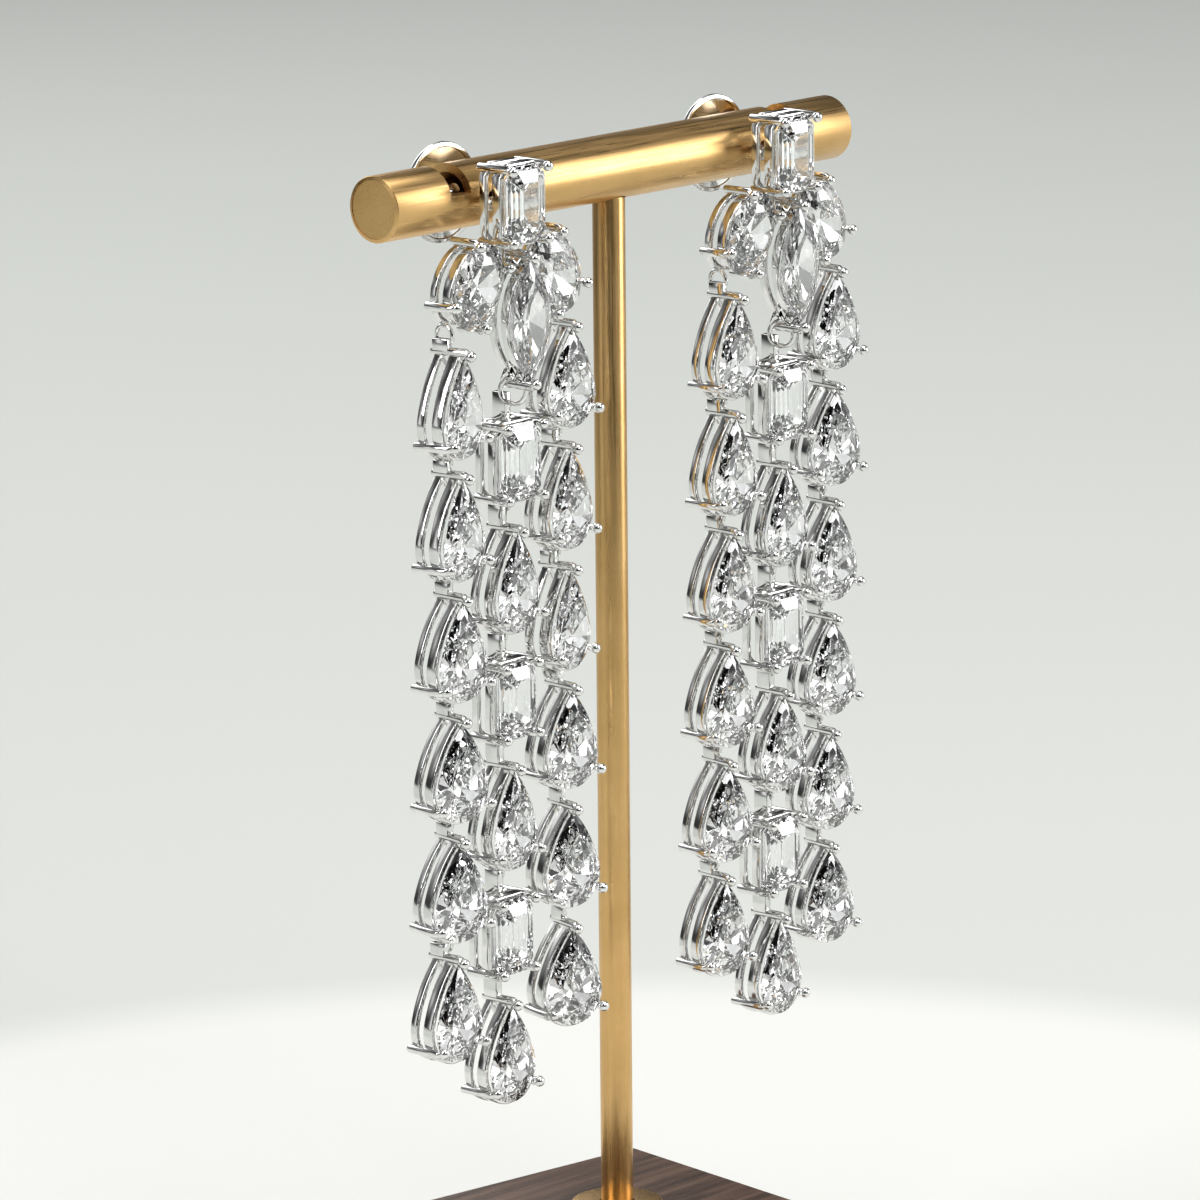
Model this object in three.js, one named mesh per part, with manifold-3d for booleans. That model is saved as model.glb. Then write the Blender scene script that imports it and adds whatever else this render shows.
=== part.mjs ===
// Pair of chandelier earrings hung on a T-bar stand.
//
// Frame: millimetres, +Z up, +X along the bar, the stones face -Y. The origin is the centre of the
// underside of the wooden base.
//
// Each earring is an emerald-cut stud over two ovals and a marquise, soldered as one cluster with
// its ear pin, and three strands of pear and emerald-cut stones. A strand's settings hang on one
// another, so its metal is one solid along the thread; every stone is a solid of its own.

import * as THREE from 'three';
import { ConvexGeometry } from 'three/addons/geometries/ConvexGeometry.js';
import { mergeVertices } from 'three/addons/utils/BufferGeometryUtils.js';
import Module from 'manifold-3d';

// ---- Driving dimensions of the stand -------------------------------------------------------
const BASE_SIDE = 28.6;
const BASE_HEIGHT = 12;
const BASE_TURN = THREE.MathUtils.degToRad(-7);
const BASE_SOCKET_DEPTH = 6;
const POST_DIAMETER = 3;
const FLANGE_DIAMETER = 8.6;
const FLANGE_THICKNESS = 0.6;
const BAR_DIAMETER = 6;
const BAR_LENGTH = 61;
const BAR_WALL = 0.8;
const BAR_RISE = 98.7;              // bar axis above the top of the base
const NOTCH_WIDTH = 2.6;
const NOTCH_OFFSET = 4.2;           // from the ear pin outwards to the middle of the notch
const NOTCH_FLOOR = 0.6;            // above the bar axis
const PIN_HOLE_DIAMETER = 2;
const CLEARANCE = 0.3;              // between pieces that only touch

// ---- Driving dimensions of the earrings ----------------------------------------------------
const EAR_X = 18.2;                 // ear pins left and right of the post
const PIN_DROP = 0.4;               // pin and emerald centre below the bar axis
const PIN_DIAMETER = 0.9;
const PIN_REACH = 7.6;              // pin end behind the bar axis
const PRONG_SIDE = 0.6;
const PRONG_LENGTH = 4.4;
const RAIL_BAND = 0.5;              // wall of a gallery rail, seen from the front
const RAIL_PROUD = 0.25;            // rail outside the girdle line
const PRONG_OUT = 0.45;             // prong middle outside the girdle line
const FRONT_RAIL = [1.45, 2.2];     // a setting's rails, counted back from the prong tips
const REAR_RAIL = [2.95, 3.7];
const GIRDLE_BACK = 0.7;            // girdle behind the prong tips
const TABLE_SHARE = 0.58;           // table over girdle, across
const TONGUE = { thick: 0.5, deep: 1.2, back: 3.32, overlap: 0.1 };
const NUT = { diameter: 9.2, disc: 0.5, curl: 1.05, curlRise: 1.85, curlWidth: 3, bore: 1.6 };

// Each cut: the girdle's length and width, and how far the crown and pavilion stand off it.
const CUTS = {
  pear: { length: 9, width: 6, crown: 0.75, pavilion: 2.4 },
  emerald: { length: 7, width: 5, crown: 0.7, pavilion: 2.1 },
  oval: { length: 8, width: 6, crown: 0.75, pavilion: 2.4 },
  marquise: { length: 11, width: 5.4, crown: 0.7, pavilion: 2.2 },
};
const PEAR_WING = THREE.MathUtils.degToRad(15);    // where the round end passes into the wings
const PEAR_PRONG = THREE.MathUtils.degToRad(-29);  // lower prongs round the round end
const EMERALD_CORNER = 0.95;
const OVAL_TILT = THREE.MathUtils.degToRad(32);

// Cluster settings, from the ear pin: sideways, up, and where the prong tips lie.
const CLUSTER = {
  emerald: { x: 0, z: 0, tips: -7.4 },
  oval: { x: 5, z: -6.9, tips: -6.3 },
  marquise: { x: 0, z: -10.4, tips: -7.8 },
};

// Strands, from the ear pin: x and z of the first stone, the step down to the next, and how high
// the first tongue may reach under the cluster.
const STRAND_TIPS = -6.5;
const STRANDS = {
  left: { x: -7, z: -17.4, steps: [11, 11, 11, 11, 11], hang: -11.3 },
  centre: { x: 0, z: -23.3, steps: [11, 10.7, 11, 10.7, 11], hang: -17.2 },
  right: { x: 6.9, z: -16.7, steps: [11.1, 11.1, 11.1, 11.1, 11.1], hang: -10.8 },
};
const STRAND_CUTS = {
  left: Array(6).fill('pear'),
  centre: ['emerald', 'pear', 'emerald', 'pear', 'emerald', 'pear'],
  right: Array(6).fill('pear'),
};

// How the strands of each earring hang: sideways and backward drift per millimetre of drop, and
// how far each setting is turned on its link, in degrees.
const HANG = {
  left: {
    back: 0,
    left: { drift: -0.034, turns: [11, 6, -1, -6, -8, 1] },
    centre: { drift: -0.036, turns: [-1, 5, 3, 4, 2, 1] },
    right: { drift: -0.014, turns: [1, 6, 10, -4, -9, -13] },
  },
  right: {
    back: 0.02,
    left: { drift: -0.018, turns: [4, 2, -2, -4, -6, -4] },
    centre: { drift: -0.003, turns: [-1, 3, 1, -1, 2, 2] },
    right: { drift: 0, turns: [-2, -6, -3, -4, -4, -7] },
  },
};

// ---- Materials -----------------------------------------------------------------------------
const FINISH = {
  walnut: { color: 0x4a3026, roughness: 0.6, metalness: 0 },
  gold: { color: 0xc9973f, roughness: 0.3, metalness: 1 },
  whiteGold: { color: 0xd9d9d6, roughness: 0.1, metalness: 1 },
  diamond: { color: 0xf2f5f7, roughness: 0.02, metalness: 0 },
};

// ---- Solids --------------------------------------------------------------------------------
const wasm = await Module();
wasm.setup();

function solidOf(geometry) {
  const bare = geometry.clone();
  bare.deleteAttribute('normal');
  bare.deleteAttribute('uv');
  const merged = mergeVertices(bare, 1e-4);
  const triVerts = new Uint32Array(merged.index.array);
  const vertProperties = new Float32Array(merged.attributes.position.array);
  return new wasm.Manifold(new wasm.Mesh({ numProp: 3, vertProperties, triVerts }));
}

function geometryOf(solid) {
  const mesh = solid.getMesh();
  const geometry = new THREE.BufferGeometry();
  geometry.setAttribute('position', new THREE.BufferAttribute(new Float32Array(mesh.vertProperties), 3));
  geometry.setIndex(new THREE.BufferAttribute(new Uint32Array(mesh.triVerts), 1));
  geometry.computeVertexNormals();
  return geometry;
}

function joined(geometries) {
  return geometries.map(solidOf).reduce((whole, piece) => whole.add(piece));
}

function named(name, geometry, finish) {
  const mesh = new THREE.Mesh(geometry, new THREE.MeshStandardMaterial(finish));
  mesh.name = name;
  return mesh;
}

// A cylinder from y = front to y = back.
function roundAlongY(radius, front, back, sides) {
  const bar = new THREE.CylinderGeometry(radius, radius, back - front, sides);
  return bar.translate(0, (front + back) / 2, 0);
}

// An outline in x and z, drawn as a flat shape and given depth from y = front to y = back.
function slab(outline, front, back, hole) {
  const shape = new THREE.Shape(outline);
  if (hole) shape.holes.push(new THREE.Path(hole));
  const block = new THREE.ExtrudeGeometry(shape, { depth: back - front, bevelEnabled: false });
  return block.rotateX(Math.PI / 2).translate(0, back, 0);
}

// ---- Outlines of the stones, seen from the front ---------------------------------------------
function arc(centreX, centreZ, radius, from, to, segments) {
  return Array.from({ length: segments + 1 }, (_, i) => {
    const angle = from + ((to - from) * i) / segments;
    return new THREE.Vector2(centreX + radius * Math.cos(angle), centreZ + radius * Math.sin(angle));
  });
}

// A round end whose wings run to the point at the top as arcs of a larger circle.
function pearOutline({ length, width }) {
  const r = width / 2;
  const endZ = r - length / 2;
  const reach = length - r;
  const s = Math.sin(PEAR_WING);
  const wing = (reach ** 2 + r ** 2 - 2 * r * reach * s) / (2 * (r - reach * s));
  const wingX = (wing - r) * Math.cos(PEAR_WING);
  const wingZ = endZ - (wing - r) * s;
  const pointAngle = Math.atan2(length / 2 - wingZ, wingX);
  const rightWing = arc(-wingX, wingZ, wing, PEAR_WING, pointAngle, 2);
  const leftWing = arc(wingX, wingZ, wing, Math.PI - pointAngle, Math.PI - PEAR_WING, 2);
  const roundEnd = arc(0, endZ, r, Math.PI - PEAR_WING, 2 * Math.PI + PEAR_WING, 4);
  return [...rightWing, ...leftWing.slice(1), ...roundEnd.slice(1, -1)];
}

function emeraldOutline({ length, width }) {
  const x = width / 2;
  const z = length / 2;
  const c = EMERALD_CORNER;
  const corners = [[x, c - z], [x, z - c], [x - c, z], [c - x, z], [-x, z - c], [-x, c - z], [c - x, -z], [x - c, -z]];
  return corners.map(([px, pz]) => new THREE.Vector2(px, pz));
}

function ovalOutline({ length, width }) {
  const circle = arc(0, 0, 1, 0, 2 * Math.PI, 8).slice(0, -1);
  return circle.map((p) => new THREE.Vector2((p.x * width) / 2, (p.y * length) / 2));
}

// Two arcs that meet in a point at the top and at the bottom.
function marquiseOutline({ length, width }) {
  const radius = (length ** 2 + width ** 2) / (4 * width);
  const side = radius - width / 2;
  const half = Math.asin(length / 2 / radius);
  const right = arc(-side, 0, radius, -half, half, 4);
  const left = arc(side, 0, radius, Math.PI - half, Math.PI + half, 4);
  return [...right, ...left.slice(1, -1)];
}

const OUTLINES = {
  pear: pearOutline(CUTS.pear),
  emerald: emeraldOutline(CUTS.emerald),
  oval: ovalOutline(CUTS.oval),
  marquise: marquiseOutline(CUTS.marquise),
};

// The outline moved inwards by a distance, or outwards by a negative one.
function inset(outline, distance) {
  const n = outline.length;
  return outline.map((point, i) => {
    const before = point.clone().sub(outline[(i + n - 1) % n]).normalize();
    const after = outline[(i + 1) % n].clone().sub(point).normalize();
    const inward = new THREE.Vector2(-before.y - after.y, before.x + after.x).normalize();
    const reach = distance / Math.max(0.6, inward.dot(new THREE.Vector2(-before.y, before.x)));
    return point.clone().addScaledVector(inward, reach);
  });
}

// ---- Stones and settings; the prong tips lie at y = 0 and the stone's centre at x = z = 0 ----------
// grow makes the room that the metal leaves round the stone.
function stoneGeometry(cut, grow = 0) {
  const { length, width, crown, pavilion } = CUTS[cut];
  const girdle = inset(OUTLINES[cut], -grow);
  const at = (p, y) => new THREE.Vector3(p.x, y, p.y);
  const table = girdle.map((p) => at(p.clone().multiplyScalar(TABLE_SHARE), GIRDLE_BACK - crown - grow));
  const belt = girdle.map((p) => at(p, GIRDLE_BACK));
  const keel = cut === 'emerald' ? (length - width) / 2 : 0;
  const seat = cut === 'pear' ? (width - length) / 2 : 0;
  const deep = GIRDLE_BACK + pavilion + grow;
  const culet = [new THREE.Vector3(0, deep, seat + keel), new THREE.Vector3(0, deep, seat - keel)];
  return new ConvexGeometry([...table, ...belt, ...culet.slice(0, keel ? 2 : 1)]);
}

// Where a cut's prongs stand: x, z and the turn that squares them to the girdle.
function prongPlaces(cut) {
  const { length, width } = CUTS[cut];
  if (cut === 'pear') {
    const r = width / 2 + PRONG_OUT;
    const endZ = (width - length) / 2;
    const low = [PEAR_PRONG, Math.PI - PEAR_PRONG].map((a) => [r * Math.cos(a), endZ + r * Math.sin(a), a]);
    return [[0, length / 2 + PRONG_OUT, Math.PI / 2], ...low];
  }
  if (cut === 'marquise') return [1, -1].map((s) => [0, s * (length / 2 + PRONG_OUT), (s * Math.PI) / 2]);
  const cornerX = cut === 'oval' ? width * Math.SQRT1_2 / 2 : (width - EMERALD_CORNER) / 2;
  const cornerZ = cut === 'oval' ? length * Math.SQRT1_2 / 2 : (length - EMERALD_CORNER) / 2;
  const out = PRONG_OUT * Math.SQRT1_2;
  const sides = [[1, 1], [-1, 1], [-1, -1], [1, -1]];
  return sides.map(([sx, sz]) => [sx * (cornerX + out), sz * (cornerZ + out), Math.atan2(sz, sx)]);
}

// An open basket: a front and a rear rail round the stone, and prongs that run from behind the
// rear rail to the tips over the girdle. slim moves the rails inwards, where a neighbour is close.
function settingGeometries(cut, slim = 0, prongLength = PRONG_LENGTH) {
  const outer = inset(OUTLINES[cut], slim - RAIL_PROUD);
  const inner = inset(OUTLINES[cut], slim - RAIL_PROUD + RAIL_BAND);
  const rails = [FRONT_RAIL, REAR_RAIL].map(([front, back]) => slab(outer, front, back, inner));
  const root = 2 * slim;
  const prongs = prongPlaces(cut).map(([x, z, turn]) => {
    const rod = new THREE.BoxGeometry(PRONG_SIDE + root, prongLength, PRONG_SIDE).translate(-root / 2, 0, 0);
    return rod.rotateY(-turn).translate(x, prongLength / 2 - PRONG_SIDE / 2, z);
  });
  return [...rails, ...prongs];
}

// The flat tongue that stands on a setting's top and hangs it from the one above.
function tongueGeometry(from, to) {
  const tongue = new THREE.BoxGeometry(TONGUE.thick, TONGUE.deep, to - from);
  return tongue.translate(0, TONGUE.back, (from + to) / 2);
}

// ---- Places of the stones ----------------------------------------------------------------------
function clusterPlaces() {
  const { emerald, oval, marquise } = CLUSTER;
  return [
    { name: 'emerald_top', cut: 'emerald', ...emerald, tilt: 0, slim: 0 },
    { name: 'oval_left', cut: 'oval', ...oval, x: -oval.x, tilt: OVAL_TILT, slim: 0.45 },
    { name: 'oval_right', cut: 'oval', ...oval, tilt: -OVAL_TILT, slim: 0.45 },
    { name: 'marquise', cut: 'marquise', ...marquise, tilt: 0, slim: 0.7 },
  ];
}

function strandPlaces(strand, hang) {
  const { x, z, steps } = STRANDS[strand];
  const { drift, turns } = hang[strand];
  return STRAND_CUTS[strand].map((cut, i) => {
    const drop = steps.slice(0, i).reduce((sum, step) => sum + step, 0);
    const turn = THREE.MathUtils.degToRad(turns[i]);
    const name = `${cut}_${strand}_${i + 1}`;
    return { name, cut, x: x + drift * drop, z: z - drop, tips: STRAND_TIPS + hang.back * drop, turn };
  });
}

function placeMatrix({ x, z, tips, tilt: lean = 0, turn = 0 }) {
  const turned = new THREE.Matrix4().makeRotationZ(turn);
  const leaned = new THREE.Matrix4().makeRotationY(lean);
  return new THREE.Matrix4().makeTranslation(x, tips, z).multiply(turned).multiply(leaned);
}

// ---- Metal of the earrings -----------------------------------------------------------------------
function clusterFrame(places) {
  const pieces = places.flatMap((place) => {
    const length = place.cut === 'oval' ? PRONG_LENGTH - 0.6 : PRONG_LENGTH;
    return settingGeometries(place.cut, place.slim, length).map((g) => g.applyMatrix4(placeMatrix(place)));
  });
  const { emerald, oval, marquise } = CLUSTER;
  const rear = emerald.tips + REAR_RAIL[1];
  const bridgeDepth = 0.5;
  const bridge = new THREE.BoxGeometry(CUTS.emerald.width - 0.4, bridgeDepth, 1.2);
  bridge.translate(0, rear - bridgeDepth / 2, 0);
  const pin = roundAlongY(PIN_DIAMETER / 2, rear - bridgeDepth / 2, PIN_REACH, 8);
  const spineTop = -CUTS.emerald.length / 2 + 0.3;
  const spineFoot = marquise.z + 4;
  const spine = new THREE.BoxGeometry(0.8, 0.8, spineTop - spineFoot);
  spine.translate(0, rear - 0.5, (spineTop + spineFoot) / 2);
  const yoke = new THREE.BoxGeometry(oval.x - 0.4, 1.9, 0.8);
  yoke.translate(0, rear + 0.05, oval.z + 1.2);
  const frame = joined([...pieces, bridge, pin, spine, yoke]);
  const rooms = places.map((place) => solidOf(stoneGeometry(place.cut, CLEARANCE).applyMatrix4(placeMatrix(place))));
  return geometryOf(rooms.reduce((solid, room) => solid.subtract(room), frame));
}

function strandMetal(strand, places) {
  const links = places.map((place, i) => {
    const above = places[i - 1];
    const top = CUTS[place.cut].length / 2 + (place.cut === 'pear' ? PRONG_OUT : 0);
    const hangAt = above ? above.z - CUTS[above.cut].length / 2 : STRANDS[strand].hang - TONGUE.overlap;
    const tongue = tongueGeometry(top - TONGUE.overlap, hangAt + TONGUE.overlap - place.z);
    return joined([...settingGeometries(place.cut), tongue].map((g) => g.applyMatrix4(placeMatrix(place))));
  });
  return geometryOf(links.reduce((whole, link) => whole.add(link)));
}

// A friction nut: a wide disc against the bar, with a curled spring above and below the pin.
function discNut() {
  const front = BAR_DIAMETER / 2 + CLEARANCE;
  const back = front + NUT.disc;
  const disc = roundAlongY(NUT.diameter / 2, front, back, 20);
  const curls = [1, -1].map((side) => {
    const curl = new THREE.CylinderGeometry(NUT.curl, NUT.curl, NUT.curlWidth, 8).rotateZ(Math.PI / 2);
    return curl.translate(0, back + NUT.curl - 0.15, side * NUT.curlRise);
  });
  const bore = solidOf(roundAlongY(NUT.bore / 2, front - 1, back + 4, 8));
  return geometryOf(joined([disc, ...curls]).subtract(bore));
}

function earring(side, x) {
  const hang = HANG[side];
  const group = new THREE.Group();
  group.position.set(x, 0, BASE_HEIGHT + BAR_RISE - PIN_DROP);
  const cluster = clusterPlaces();
  group.add(named(`${side}_cluster_frame`, clusterFrame(cluster), FINISH.whiteGold));
  group.add(named(`${side}_disc_nut`, discNut(), FINISH.whiteGold));
  const places = [...cluster];
  for (const strand of Object.keys(STRANDS)) {
    const stones = strandPlaces(strand, hang);
    group.add(named(`${side}_strand_${strand}`, strandMetal(strand, stones), FINISH.whiteGold));
    places.push(...stones);
  }
  for (const place of places) {
    const stone = named(`${side}_${place.name}`, stoneGeometry(place.cut), FINISH.diamond);
    stone.applyMatrix4(placeMatrix(place));
    group.add(stone);
  }
  return group;
}

// ---- The stand -------------------------------------------------------------------------------------
function upright(radius, bottom, top, sides) {
  const bar = new THREE.CylinderGeometry(radius, radius, top - bottom, sides);
  return bar.rotateX(Math.PI / 2).translate(0, 0, (bottom + top) / 2);
}

const POST_RADIUS = POST_DIAMETER / 2;
const BAR_Z = BASE_HEIGHT + BAR_RISE;
const SOCKET_FLOOR = BASE_HEIGHT - BASE_SOCKET_DEPTH;

function baseBlock() {
  const block = new THREE.BoxGeometry(BASE_SIDE, BASE_SIDE, BASE_HEIGHT).rotateZ(BASE_TURN);
  block.translate(0, 0, BASE_HEIGHT / 2);
  const socket = upright(POST_RADIUS + CLEARANCE, SOCKET_FLOOR, BASE_HEIGHT + 1, 16);
  return geometryOf(solidOf(block).subtract(solidOf(socket)));
}

function postFlange() {
  const bottom = BASE_HEIGHT + CLEARANCE;
  const plate = upright(FLANGE_DIAMETER / 2, bottom, bottom + FLANGE_THICKNESS, 24);
  const hole = upright(POST_RADIUS + CLEARANCE, bottom - 1, bottom + FLANGE_THICKNESS + 1, 16);
  return geometryOf(solidOf(plate).subtract(solidOf(hole)));
}

function post() {
  const top = BAR_Z - BAR_DIAMETER / 2 + BAR_WALL / 2;
  return upright(POST_RADIUS, SOCKET_FLOOR + CLEARANCE, top, 16);
}

// A tube closed at both ends, with a notch beside each pin hole and a hole for the post below.
function tBar() {
  const lying = (radius, length, sides) => {
    const bar = new THREE.CylinderGeometry(radius, radius, length, sides).rotateZ(Math.PI / 2);
    return solidOf(bar.translate(0, 0, BAR_Z));
  };
  const radius = BAR_DIAMETER / 2;
  let bar = lying(radius, BAR_LENGTH, 20);
  bar = bar.subtract(lying(radius - BAR_WALL, BAR_LENGTH - 2 * BAR_WALL, 12));
  for (const side of [-1, 1]) {
    const notch = new THREE.BoxGeometry(NOTCH_WIDTH, BAR_DIAMETER + 2, BAR_DIAMETER);
    notch.translate(side * (EAR_X + NOTCH_OFFSET), 0, BAR_Z + NOTCH_FLOOR + BAR_DIAMETER / 2);
    const hole = roundAlongY(PIN_HOLE_DIAMETER / 2, -radius - 1, radius + 1, 8);
    hole.translate(side * EAR_X, 0, BAR_Z - PIN_DROP);
    bar = bar.subtract(solidOf(notch)).subtract(solidOf(hole));
  }
  const postHole = upright(POST_RADIUS + CLEARANCE, BAR_Z - radius - 1, BAR_Z - radius / 2, 12);
  return geometryOf(bar.subtract(solidOf(postHole)));
}

// ---- The whole -------------------------------------------------------------------------------------
const stand = new THREE.Group();
stand.add(named('base_block', baseBlock(), FINISH.walnut));
stand.add(named('post_flange', postFlange(), FINISH.gold));
stand.add(named('post', post(), FINISH.gold));
stand.add(named('t_bar', tBar(), FINISH.gold));

const model = new THREE.Group();
model.add(stand, earring('left', -EAR_X), earring('right', EAR_X));

export default model;
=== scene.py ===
import math

import bmesh
import bpy
from mathutils import Matrix, Vector


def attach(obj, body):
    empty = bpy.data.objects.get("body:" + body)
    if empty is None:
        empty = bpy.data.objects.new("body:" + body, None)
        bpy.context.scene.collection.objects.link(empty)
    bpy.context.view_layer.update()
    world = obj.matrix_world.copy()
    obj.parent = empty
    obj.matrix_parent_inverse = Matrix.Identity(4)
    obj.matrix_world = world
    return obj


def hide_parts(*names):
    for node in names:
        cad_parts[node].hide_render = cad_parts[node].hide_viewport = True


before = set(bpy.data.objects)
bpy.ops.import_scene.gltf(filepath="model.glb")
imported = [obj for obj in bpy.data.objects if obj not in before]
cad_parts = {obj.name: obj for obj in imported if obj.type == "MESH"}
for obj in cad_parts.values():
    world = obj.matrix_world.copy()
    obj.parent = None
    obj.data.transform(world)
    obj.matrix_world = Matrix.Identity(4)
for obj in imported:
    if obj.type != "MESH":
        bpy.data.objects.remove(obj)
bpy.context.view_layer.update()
bpy.ops.object.select_all(action="DESELECT")
print("frame:", len(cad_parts), "nodes")

# %% [markdown]
# ## The bench
# Stones and settings are a few millimetres across, so each one is made at the origin at one unit
# to the millimetre, with the stone's face to -Y. A finished model is then copied to its places,
# and the copy's matrix also takes it down to metres. Working by hand in edit mode always goes
# the same way: deselect all, add a primitive, open it, select some faces or edges, and shape them.
# %% Bench helpers
MM = 0.001
FRONT = Vector((0, -1, 0))


def start(operator, **settings):
    """Adds one primitive to an empty selection and opens it in edit mode, its turn applied."""
    bpy.ops.object.select_all(action="DESELECT")
    operator(**settings)
    bpy.ops.object.transform_apply(location=True, rotation=True, scale=True)
    bpy.ops.object.mode_set(mode="EDIT")


def pick(kind, test):
    """Selects the faces, edges or verts of the open mesh that pass the test."""
    modes = {"faces": "FACE", "edges": "EDGE", "verts": "VERT"}
    bpy.ops.mesh.select_all(action="DESELECT")
    bpy.ops.mesh.select_mode(type=modes[kind])
    data = bpy.context.object.data
    mesh = bmesh.from_edit_mesh(data)
    mesh.normal_update()
    for element in getattr(mesh, kind):
        if test(element):
            element.select_set(True)
    mesh.select_flush_mode()
    bmesh.update_edit_mesh(data)


def finish(name, smooth=35):
    """Closes edit mode, turns the faces outwards and names the model."""
    bpy.ops.mesh.select_all(action="SELECT")
    bpy.ops.mesh.normals_make_consistent(inside=False)
    bpy.ops.object.mode_set(mode="OBJECT")
    model = bpy.context.object
    model.name = name
    if smooth:
        bpy.ops.object.shade_smooth_by_angle(angle=math.radians(smooth))
    else:
        bpy.ops.object.shade_flat()
    return model


def copied(model, name, place):
    """A copy with its own mesh, its place written into the mesh."""
    copy = model.copy()
    copy.data = model.data.copy()
    copy.name = name
    bpy.context.scene.collection.objects.link(copy)
    copy.data.transform(place)
    return copy


def joined(models, name):
    """Several models made one, under a new name."""
    bpy.ops.object.select_all(action="DESELECT")
    for model in models:
        model.select_set(True)
    bpy.context.view_layer.objects.active = models[0]
    if len(models) > 1:
        bpy.ops.object.join()
    models[0].name = name
    return models[0]


def lost(*models):
    """Takes bench models away once their copies are placed."""
    for model in models:
        bpy.data.objects.remove(model)


# %% [markdown]
# ## Main sizes
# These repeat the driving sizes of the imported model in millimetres. Four cuts of stone are used.
# Each is a girdle outline, a flat table in front of it, and a pavilion behind it that runs to a
# point, or on the emerald cut to a short keel.
# %% Sizes of stones and settings
GIRDLE_BACK = 0.7
GIRDLE_HALF = 0.05
TABLE_SHARE = 0.58
CUTS = {
    "pear": {"length": 9, "width": 6, "crown": 0.75, "pavilion": 2.4},
    "emerald": {"length": 7, "width": 5, "crown": 0.7, "pavilion": 2.1},
    "oval": {"length": 8, "width": 6, "crown": 0.75, "pavilion": 2.4},
    "marquise": {"length": 11, "width": 5.4, "crown": 0.7, "pavilion": 2.2},
}
PEAR_WING = math.radians(15)
EMERALD_CORNER = 0.95
STEPS = 96  # points round an outline

# %% [markdown]
# ## Outlines
# A pear is a round end whose wings run up to the point as arcs of a larger circle. A marquise is
# two arcs that meet in points, and an oval is an ellipse. Each right half is drawn as an arc or
# two, and points are then spaced evenly along it and mirrored, so facets and rails share them.
# %% Outlines of the cuts
def arc(centre, radius, first, last, steps=160):
    """Points along an arc in x and z; radius is one number, or one for each direction."""
    rx, rz = radius if isinstance(radius, tuple) else (radius, radius)
    angles = [first + (last - first) * i / steps for i in range(steps + 1)]
    return [Vector((centre[0] + rx * math.cos(a), centre[1] + rz * math.sin(a))) for a in angles]


def pear_half(length, width):
    r = width / 2
    end = r - length / 2
    run = length - r
    s = math.sin(PEAR_WING)
    wing = (run**2 + r**2 - 2 * r * run * s) / (2 * (r - run * s))
    wing_x = (wing - r) * math.cos(PEAR_WING)
    wing_z = end - (wing - r) * s
    tip = math.atan2(length / 2 - wing_z, wing_x)
    return arc((-wing_x, wing_z), wing, tip, PEAR_WING) + arc((0, end), r, PEAR_WING, -math.pi / 2)[1:]


def oval_half(length, width):
    return arc((0, 0), (width / 2, length / 2), math.pi / 2, -math.pi / 2)


def marquise_half(length, width):
    radius = (length**2 + width**2) / (4 * width)
    half = math.asin(length / 2 / radius)
    return arc((width / 2 - radius, 0), radius, half, -half)


def emerald_half(length, width):
    x, z, c = width / 2, length / 2, EMERALD_CORNER
    corners = [(0, z), (x - c, z), (x, z - c), (x, c - z), (x - c, -z), (0, -z)]
    return [Vector(corner) for corner in corners]


def spaced(line, count):
    """count + 1 points at even steps along a line of points."""
    ends = [0.0]
    for a, b in zip(line, line[1:]):
        ends.append(ends[-1] + (b - a).length)
    points, j = [], 0
    for i in range(count + 1):
        want = ends[-1] * i / count
        while j < len(line) - 2 and ends[j + 1] < want:
            j += 1
        share = (want - ends[j]) / (ends[j + 1] - ends[j])
        points.append(line[j].lerp(line[j + 1], min(1, share)))
    return points


HALVES = {"pear": pear_half, "emerald": emerald_half, "oval": oval_half, "marquise": marquise_half}
OUTLINES = {}
for cut, size in CUTS.items():
    right = spaced(HALVES[cut](size["length"], size["width"]), STEPS // 2)
    OUTLINES[cut] = right + [Vector((-p.x, p.y)) for p in reversed(right[1:-1])]


def facing(cut, i, spread=2):
    """The outward direction of the outline at its point i."""
    points = OUTLINES[cut]
    along = points[(i + spread) % STEPS] - points[(i - spread) % STEPS]
    return Vector((-along.y, along.x)).normalized()


def reach(cut, direction):
    """How far the outline reaches in a direction."""
    return max(p.dot(direction) for p in OUTLINES[cut])


print("outlines:", {cut: len(points) for cut, points in OUTLINES.items()})

# %% [markdown]
# ## Cutting a stone
# A cutter grinds a rough block flat on a wheel, one facet at a time, so that is how it is done
# here: a block is bisected by one plane for each facet, and the side towards the wheel is cleared
# away. A facet leans from the girdle towards the table or the culet, so its plane is given by two
# depths, and how far out it passes at each one.
# %% Facet cuts
def grind(direction, near, far):
    """Cuts one facet; near and far are (distance outwards, depth) of two points on its plane."""
    run = Vector((far[0] - near[0], far[1] - near[1]))
    lean = Vector((run.y, -run.x)) if run.y > 0 else Vector((-run.y, run.x))
    normal = Vector((direction.x * lean.x, lean.y, direction.y * lean.x)).normalized()
    point = (direction.x * near[0], near[1], direction.y * near[0])
    bpy.ops.mesh.select_all(action="SELECT")
    bpy.ops.mesh.bisect(
        plane_co=point, plane_no=normal, use_fill=True, clear_outer=True, threshold=1e-5
    )


def rough_block(cut):
    """The block a stone is cut from; its front face is already the table."""
    size = CUTS[cut]
    front, back = GIRDLE_BACK - size["crown"], GIRDLE_BACK + size["pavilion"] + 0.2
    spare = 0.4
    start(
        bpy.ops.mesh.primitive_cube_add,
        size=1,
        location=(0, (front + back) / 2, 0),
        scale=(size["width"] + spare, back - front, size["length"] + spare),
    )


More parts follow.
